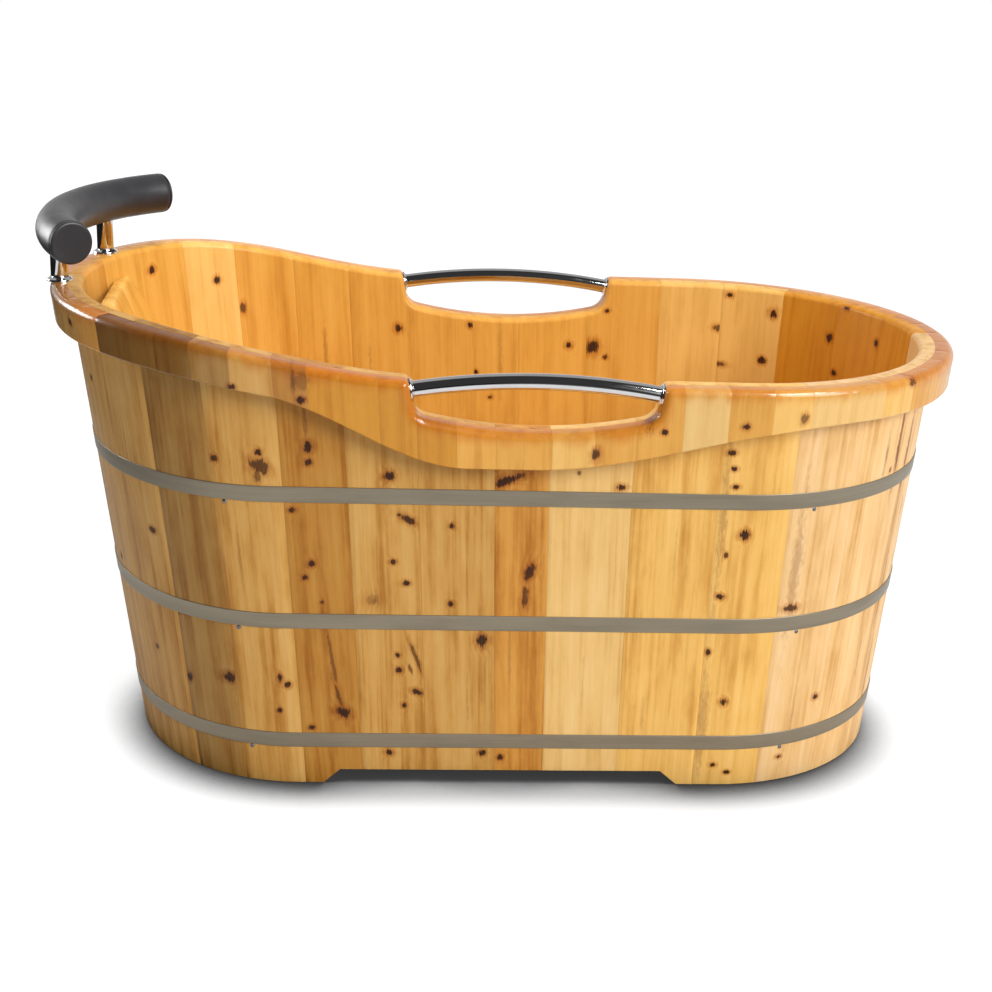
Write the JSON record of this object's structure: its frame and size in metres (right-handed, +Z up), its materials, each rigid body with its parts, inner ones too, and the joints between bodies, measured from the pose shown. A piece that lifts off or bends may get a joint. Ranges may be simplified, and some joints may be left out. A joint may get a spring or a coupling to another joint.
{
  "type": "wooden bathtub",
  "caption": "Free-standing oval wooden soaking tub of coopered staves and steel hoops, with notched grab handles, a raised head end, a padded headrest, a backrest and a floor drain.",
  "frame": {"origin": "middle of the overall length and width, on the floor that the tub stands on", "axes": "+X along the tub from the head end to the foot end, +Y to the far long side, +Z up"},
  "size_m": [1.5162, 0.7628, 0.891],
  "materials": {
    "stave_wood": "knotty cedar staves, straight vertical grain, thin clear coat, satin to gloss",
    "rim_wood": "cedar blocks, rounded and clear coated, glossy",
    "floor_wood": "cedar boards, sanded, satin",
    "backrest_wood": "cedar planks, clear coated, satin",
    "hoop_steel": "grey stainless strip, satin",
    "nail_steel": "small round nail heads, satin",
    "bolt_steel": "plain steel studs, hidden",
    "handle_chrome": "polished bent tube",
    "headrest_chrome": "polished bar and posts",
    "headrest_foam": "charcoal skinned foam, satin",
    "drain_chrome": "polished brass under chrome",
    "seal_rubber": "black rubber, matte"
  },
  "bodies": {
    "tub": {"stave_01": "stave_wood", "stave_02": "stave_wood", "stave_03": "stave_wood", "stave_04": "stave_wood", "stave_05": "stave_wood", "stave_06": "stave_wood", "stave_07": "stave_wood", "stave_08": "stave_wood", "stave_09": "stave_wood", "stave_10": "stave_wood", "stave_11": "stave_wood", "stave_12": "stave_wood", "stave_13": "stave_wood", "stave_14": "stave_wood", "stave_15": "stave_wood", "stave_16": "stave_wood", "stave_17": "stave_wood", "stave_18": "stave_wood", "stave_19": "stave_wood", "stave_20": "stave_wood", "stave_21": "stave_wood", "stave_22": "stave_wood", "stave_23": "stave_wood", "stave_24": "stave_wood", "stave_25": "stave_wood", "stave_26": "stave_wood", "stave_27": "stave_wood", "stave_28": "stave_wood", "stave_29": "stave_wood", "stave_30": "stave_wood", "stave_31": "stave_wood", "stave_32": "stave_wood", "base_board_1": "floor_wood", "base_board_2": "floor_wood", "base_board_3": "floor_wood", "base_board_4": "floor_wood", "base_board_5": "floor_wood", "rim_head": "rim_wood", "rim_near": "rim_wood", "rim_foot": "rim_wood", "rim_far": "rim_wood", "hoop_upper": "hoop_steel", "hoop_middle": "hoop_steel", "hoop_lower": "hoop_steel", "hoop_nails": "nail_steel", "base_battens": "floor_wood", "backrest_planks": "backrest_wood", "backrest_battens": "backrest_wood", "handle_near": "handle_chrome", "handle_far": "handle_chrome", "handle_flanges": "handle_chrome", "hanger_bolts": "bolt_steel", "headrest_pillow": "headrest_foam", "headrest_frame": "headrest_chrome", "headrest_flanges": "headrest_chrome", "drain_body": "drain_chrome", "drain_gasket": "seal_rubber", "drain_nut": "drain_chrome"},
    "stopper": {"drain_stopper": "drain_chrome", "stopper_seal": "seal_rubber"}
  },
  "joints": [
    {"name": "stopper_lift", "type": "slide", "parent": "tub", "child": "stopper", "axis": [0, 0, 1], "range_m": [0, 0.008]}
  ]
}
